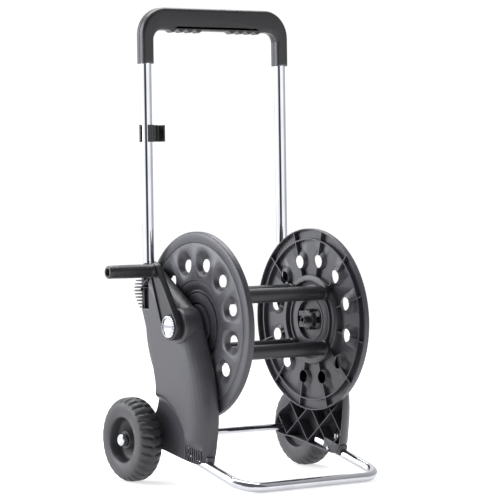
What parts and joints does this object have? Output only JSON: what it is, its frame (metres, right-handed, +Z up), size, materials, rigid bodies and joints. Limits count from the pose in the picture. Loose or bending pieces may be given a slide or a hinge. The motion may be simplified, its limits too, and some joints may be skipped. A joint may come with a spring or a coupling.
{
  "type": "hose reel cart",
  "caption": "Two-wheeled garden hose reel cart: bow handle, moulded side panels, open crank-driven reel with round flanges and a bent foot tube.",
  "frame": {"origin": "on the ground, under the middle of the whole cart's box", "axes": "+X along the reel axis away from the crank, +Y to the back where the wheels are, +Z up"},
  "size_m": [0.5354, 0.4011, 0.9125],
  "materials": {
    "panel_plastic": "satin moulded anthracite polypropylene",
    "black_plastic": "satin moulded black plastic",
    "wheel_plastic": "blow-moulded dark plastic",
    "chromed_steel": "bright chromed steel tube",
    "zinc_steel": "zinc plated steel",
    "seal_rubber": "moulded seal rubber"
  },
  "bodies": {
    "frame": {"handle_bow_tube": "chromed_steel", "foot_tube": "chromed_steel", "grip_front_shell": "black_plastic", "grip_rear_shell": "black_plastic", "grip_screw_left": "zinc_steel", "grip_screw_right": "zinc_steel", "left_side_panel": "panel_plastic", "right_side_panel": "panel_plastic", "bow_screw_left": "zinc_steel", "bow_screw_right": "zinc_steel", "foot_screw_left": "zinc_steel", "foot_screw_right": "zinc_steel", "hub_bush_left": "black_plastic", "hub_bush_right": "black_plastic", "axle_tube": "chromed_steel", "axle_spacer_left": "black_plastic", "axle_spacer_right": "black_plastic", "axle_cap_left": "zinc_steel", "axle_cap_right": "zinc_steel"},
    "reel": {"reel_flange_left": "panel_plastic", "reel_flange_right": "panel_plastic", "drum_bar_1": "black_plastic", "drum_bar_2": "black_plastic", "drum_bar_3": "black_plastic", "drum_bar_4": "black_plastic", "crank_shaft": "black_plastic", "crank_arm": "black_plastic", "crank_cap": "chromed_steel", "crank_pin": "zinc_steel", "water_spindle": "black_plastic", "hose_outlet_spigot": "black_plastic", "inlet_seal": "seal_rubber"},
    "crank_handle": {"crank_grip": "black_plastic"},
    "inlet": {"inlet_elbow": "black_plastic"},
    "left_wheel": {"wheel_left": "wheel_plastic", "wheel_bush_left": "black_plastic"},
    "right_wheel": {"wheel_right": "wheel_plastic", "wheel_bush_right": "black_plastic"},
    "clip": {"tool_clip": "black_plastic"}
  },
  "joints": [
    {"name": "reel_turn", "type": "hinge", "parent": "frame", "child": "reel", "pos_m": [0.03365, -0.00725, 0.302], "axis": [1, 0, 0], "continuous": true},
    {"name": "crank_grip_turn", "type": "hinge", "parent": "reel", "child": "crank_handle", "pos_m": [0.03365, 0.04618, 0.40687], "axis": [1, 0, 0], "continuous": true},
    {"name": "inlet_swivel", "type": "hinge", "parent": "frame", "child": "inlet", "pos_m": [0.03365, -0.00725, 0.302], "axis": [1, 0, 0], "continuous": true},
    {"name": "left_wheel_turn", "type": "hinge", "parent": "frame", "child": "left_wheel", "pos_m": [0.03365, 0.11975, 0.081], "axis": [1, 0, 0], "continuous": true},
    {"name": "right_wheel_turn", "type": "hinge", "parent": "frame", "child": "right_wheel", "pos_m": [0.03365, 0.11975, 0.081], "axis": [1, 0, 0], "continuous": true},
    {"name": "clip_slide", "type": "slide", "parent": "frame", "child": "clip", "axis": [0, 0, 1], "range_m": [-0.2, 0.1]}
  ]
}
